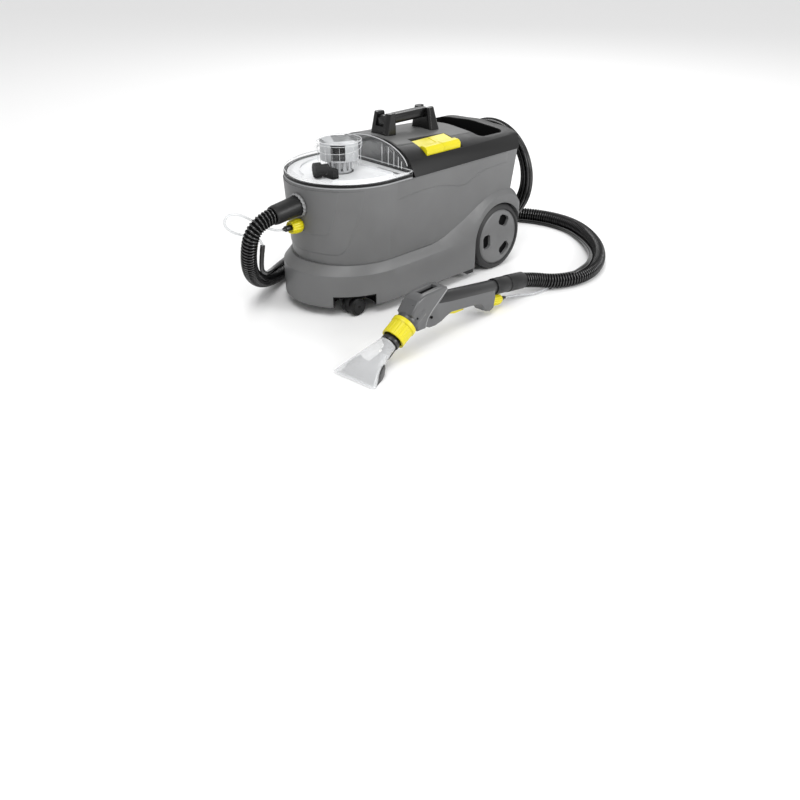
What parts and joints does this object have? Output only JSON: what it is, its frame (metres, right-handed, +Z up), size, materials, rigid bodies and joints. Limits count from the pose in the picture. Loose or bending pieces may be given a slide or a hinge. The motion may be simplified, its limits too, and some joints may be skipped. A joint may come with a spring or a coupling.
{
  "type": "carpet cleaner",
  "caption": "Wheeled spray-extraction carpet cleaner with lift-out waste tank under a clear lid, pedal switches, storage tray, suction hose and hand tool.",
  "frame": {"origin": "on the floor, midway between the sides of the machine; the nose ellipse centre is 154 mm towards -Y", "axes": "+Z up; -Y is the hose end (nose); +Y is the end with the large wheels; +X is the side with the pedal switches"},
  "size_m": [0.7226, 1.146, 0.435],
  "materials": {
    "grey_plastic": "fine moulded grain",
    "black_plastic": "fine moulded grain",
    "yellow_plastic": "smooth moulding",
    "clear_plastic": "clear moulding",
    "white_plastic": "smooth moulding",
    "rubber": "matt",
    "tyre": "matt",
    "steel": "turned",
    "hose": "corrugated plastic",
    "motor": "moulded"
  },
  "bodies": {
    "machine": {"base_housing": "grey_plastic", "body_shell": "grey_plastic", "bottom_plate": "black_plastic", "caster_cups": "black_plastic", "top_cover": "black_plastic", "top_panel": "grey_plastic", "storage_tray": "black_plastic", "switch_block": "black_plastic", "handle_front_post": "black_plastic", "handle_rear_post": "black_plastic", "handle_grip": "black_plastic", "rear_axle": "steel", "fresh_water_tank": "white_plastic", "vacuum_motor": "motor", "spray_pump": "black_plastic", "suction_port": "black_plastic", "hose_cuff_machine": "black_plastic", "spray_socket": "yellow_plastic", "spray_connector_machine": "black_plastic", "suction_hose": "hose", "spray_sleeve": "hose", "spray_tube_machine": "clear_plastic", "tool_housing": "grey_plastic", "tool_grip_tube": "black_plastic", "nozzle_body": "black_plastic", "nozzle_cover": "clear_plastic", "hose_cuff_tool": "black_plastic", "tool_coupling": "yellow_plastic", "spray_connector_tool": "black_plastic", "spray_tube_tool": "clear_plastic", "cable_gland": "rubber", "cable_boss": "black_plastic", "power_cord_hank": "rubber", "power_cord_lead": "rubber", "power_cord_tail": "rubber", "power_plug": "rubber", "cable_hook": "black_plastic"},
    "rear_wheel_left": {"rear_tyre_left": "tyre", "rear_hub_left": "grey_plastic"},
    "rear_wheel_right": {"rear_tyre_right": "tyre", "rear_hub_right": "grey_plastic"},
    "caster_left": {"caster_hood_left": "black_plastic", "caster_axle_left": "steel"},
    "caster_right": {"caster_hood_right": "black_plastic", "caster_axle_right": "steel"},
    "caster_roller_left": {"caster_wheels_left": "black_plastic"},
    "caster_roller_right": {"caster_wheels_right": "black_plastic"},
    "tank": {"waste_tank": "white_plastic", "tank_deck": "white_plastic", "lint_filter": "black_plastic"},
    "lid": {"tank_lid": "clear_plastic", "lid_seal": "rubber", "float_cage": "white_plastic", "air_intake": "black_plastic"},
    "float": {"float_ball": "white_plastic"},
    "suction_switch": {"suction_pedal": "yellow_plastic"},
    "spray_switch": {"spray_pedal": "yellow_plastic"},
    "fan": {"fan_rotor": "motor"},
    "trigger": {"tool_trigger": "yellow_plastic"},
    "lock_ring": {"tool_lock_ring": "yellow_plastic"}
  },
  "joints": [
    {"name": "rear_wheel_left_spin", "type": "hinge", "parent": "machine", "child": "rear_wheel_left", "pos_m": [-0.139, 0.232, 0.089], "axis": [1, 0, 0], "continuous": true},
    {"name": "caster_left_swivel", "type": "hinge", "parent": "machine", "child": "caster_left", "pos_m": [-0.106, -0.257, 0.05], "axis": [0, 0, 1], "continuous": true},
    {"name": "caster_left_roll", "type": "hinge", "parent": "caster_left", "child": "caster_roller_left", "pos_m": [-0.106, -0.247, 0.023], "axis": [1, 0, 0], "continuous": true},
    {"name": "rear_wheel_right_spin", "type": "hinge", "parent": "machine", "child": "rear_wheel_right", "pos_m": [0.139, 0.232, 0.089], "axis": [1, 0, 0], "continuous": true},
    {"name": "caster_right_swivel", "type": "hinge", "parent": "machine", "child": "caster_right", "pos_m": [0.106, -0.257, 0.05], "axis": [0, 0, 1], "continuous": true},
    {"name": "caster_right_roll", "type": "hinge", "parent": "caster_right", "child": "caster_roller_right", "pos_m": [0.106, -0.247, 0.023], "axis": [1, 0, 0], "continuous": true},
    {"name": "tank_lift", "type": "slide", "parent": "machine", "child": "tank", "axis": [0, 0, 1], "range_m": [0, 0.2]},
    {"name": "lid_lift", "type": "slide", "parent": "tank", "child": "lid", "axis": [0, 0, 1], "range_m": [0, 0.12]},
    {"name": "float_rise", "type": "slide", "parent": "lid", "child": "float", "axis": [0, 0, 1], "range_m": [0, 0.012]},
    {"name": "suction_pedal_press", "type": "hinge", "parent": "machine", "child": "suction_switch", "pos_m": [0.072, 0.012, 0.346], "axis": [0, 1, 0], "range_deg": [0, 4], "stiffness_Nm_per_rad": 2, "springref_deg": -6.88},
    {"name": "spray_pedal_press", "type": "hinge", "parent": "machine", "child": "spray_switch", "pos_m": [0.072, 0.072, 0.346], "axis": [0, 1, 0], "range_deg": [0, 4], "stiffness_Nm_per_rad": 2, "springref_deg": -6.88},
    {"name": "fan_spin", "type": "hinge", "parent": "machine", "child": "fan", "pos_m": [0, 0.03, 0.06], "axis": [0, 0, 1], "continuous": true},
    {"name": "trigger_pull", "type": "hinge", "parent": "machine", "child": "trigger", "pos_m": [0.34604, -0.18478, 0.064], "axis": [0.9973, 0.073, 0], "range_deg": [0, 7], "stiffness_Nm_per_rad": 0.6, "springref_deg": -6.88},
    {"name": "lock_ring_turn", "type": "hinge", "parent": "machine", "child": "lock_ring", "pos_m": [0.35728, -0.33837, 0.066], "axis": [-0.0638, 0.8723, 0.4848], "range_deg": [0, 60]}
  ]
}
